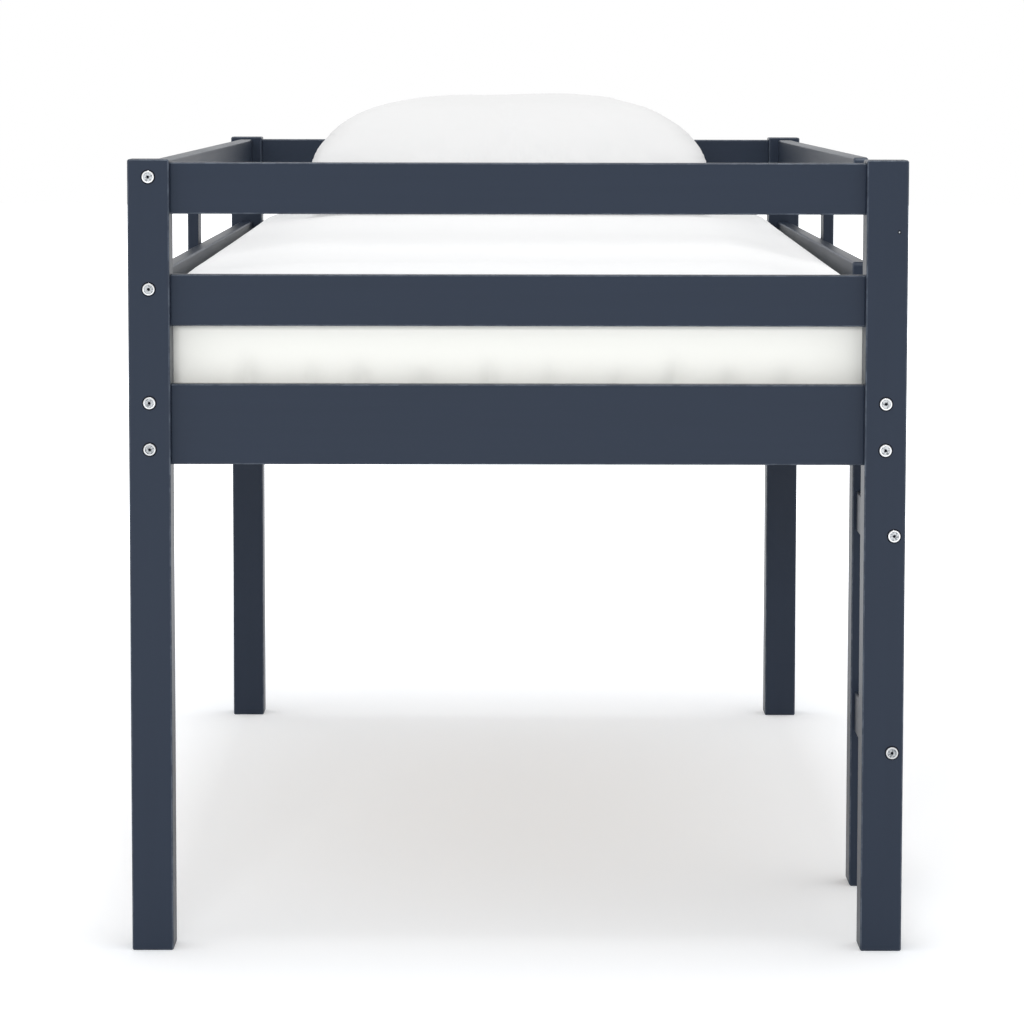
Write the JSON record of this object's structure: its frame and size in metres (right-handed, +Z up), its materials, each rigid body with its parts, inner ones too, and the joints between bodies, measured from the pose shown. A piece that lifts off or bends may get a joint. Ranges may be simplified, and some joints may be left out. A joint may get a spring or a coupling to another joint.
{
  "type": "loft bed",
  "caption": "Low loft bed with a painted wooden frame, guard rails, a short built-in ladder, a slatted base, a mattress and a pillow; open space beneath.",
  "frame": {"origin": "on the floor under the middle of the bed", "axes": "+Z up, +Y from the foot end to the head end, +X towards the side with the ladder"},
  "size_m": [1.067, 2.0242, 1.1796],
  "materials": {
    "painted_wood": "slate blue satin paint on wood",
    "slat_pine": "bare planed pine",
    "strap_webbing": "woven webbing",
    "zinc_steel": "bright zinc plate",
    "mattress_cover": "smooth white cotton cover",
    "pillow_cotton": "soft white cotton"
  },
  "bodies": {
    "frame": {"post_front_left": "painted_wood", "post_front_right": "painted_wood", "post_back_left": "painted_wood", "post_back_right": "painted_wood", "foot_top_rail": "painted_wood", "foot_middle_rail": "painted_wood", "foot_bottom_rail": "painted_wood", "head_top_rail": "painted_wood", "head_middle_rail": "painted_wood", "head_bottom_rail": "painted_wood", "side_rail_left": "painted_wood", "side_rail_right": "painted_wood", "guard_upper_left": "painted_wood", "guard_upper_right": "painted_wood", "guard_lower_left": "painted_wood", "guard_lower_right": "painted_wood", "guard_upright_left": "painted_wood", "guard_upright_right": "painted_wood", "ladder_stile": "painted_wood", "ladder_rung_lower": "painted_wood", "ladder_rung_upper": "painted_wood", "slat_ledger_left": "slat_pine", "slat_ledger_right": "slat_pine", "slat_01": "slat_pine", "slat_02": "slat_pine", "slat_03": "slat_pine", "slat_04": "slat_pine", "slat_05": "slat_pine", "slat_06": "slat_pine", "slat_07": "slat_pine", "slat_08": "slat_pine", "slat_09": "slat_pine", "slat_10": "slat_pine", "slat_11": "slat_pine", "slat_12": "slat_pine", "slat_13": "slat_pine", "slat_strap_left": "strap_webbing", "slat_strap_right": "strap_webbing", "connector_screws": "zinc_steel"},
    "mattress": {"mattress": "mattress_cover"},
    "pillow": {"pillow": "pillow_cotton"}
  },
  "joints": [
    {"name": "mattress_lift", "type": "slide", "parent": "frame", "child": "mattress", "axis": [0, 0, 1], "range_m": [0, 0.4]},
    {"name": "pillow_lift", "type": "slide", "parent": "mattress", "child": "pillow", "axis": [0, 0, 1], "range_m": [0, 0.3]}
  ]
}
